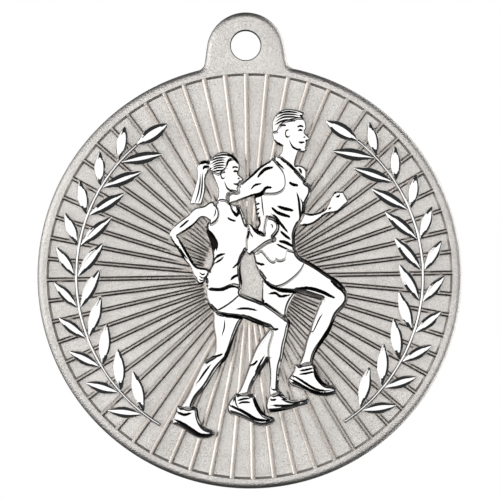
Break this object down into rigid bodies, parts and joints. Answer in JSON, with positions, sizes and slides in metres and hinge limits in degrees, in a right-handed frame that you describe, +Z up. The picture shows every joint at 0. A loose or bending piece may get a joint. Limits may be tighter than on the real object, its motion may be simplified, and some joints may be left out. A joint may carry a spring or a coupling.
{
  "type": "finisher medal",
  "caption": "Round die-struck running medal with a hanger tab and ring hole, a sunburst field, two laurel branches and two runners in polished relief.",
  "frame": {"origin": "centre of the ring hole in the hanger tab, on the plane of the plain back face", "axes": "+Z up from the disc's centre to the tab as the medal hangs, the struck face looks towards -Y, +X to the right as the struck face is seen"},
  "size_m": [0.05, 0.0036, 0.0561],
  "materials": {
    "blasted_nickel": "sand-blasted nickel plate",
    "rib_nickel": "satin nickel plate",
    "polished_nickel": "polished nickel plate"
  },
  "bodies": {
    "root": {"medal_blank": "blasted_nickel", "sunburst_ribs": "rib_nickel", "left_branch_stem": "polished_nickel", "left_branch_tip_leaf": "polished_nickel", "left_branch_outer_leaves": "polished_nickel", "left_branch_inner_leaves": "polished_nickel", "right_branch_stem": "polished_nickel", "right_branch_tip_leaf": "polished_nickel", "right_branch_outer_leaves": "polished_nickel", "right_branch_inner_leaves": "polished_nickel", "left_runner_rear_arm": "polished_nickel", "left_runner_hair": "polished_nickel", "left_runner_ponytail": "polished_nickel", "left_runner_head": "polished_nickel", "left_runner_front_arm": "polished_nickel", "left_runner_singlet": "polished_nickel", "left_runner_front_shoe": "polished_nickel", "left_runner_shorts": "polished_nickel", "left_runner_front_leg": "polished_nickel", "left_runner_rear_shoe": "polished_nickel", "left_runner_rear_leg": "polished_nickel", "right_runner_hair": "polished_nickel", "right_runner_head": "polished_nickel", "right_runner_near_arm": "polished_nickel", "right_runner_singlet": "polished_nickel", "right_runner_front_arm": "polished_nickel", "right_runner_front_shoe": "polished_nickel", "right_runner_shorts": "polished_nickel", "right_runner_front_leg": "polished_nickel", "right_runner_rear_shoe": "polished_nickel", "right_runner_rear_thigh": "polished_nickel", "right_runner_rear_shin": "polished_nickel"}
  },
  "joints": []
}
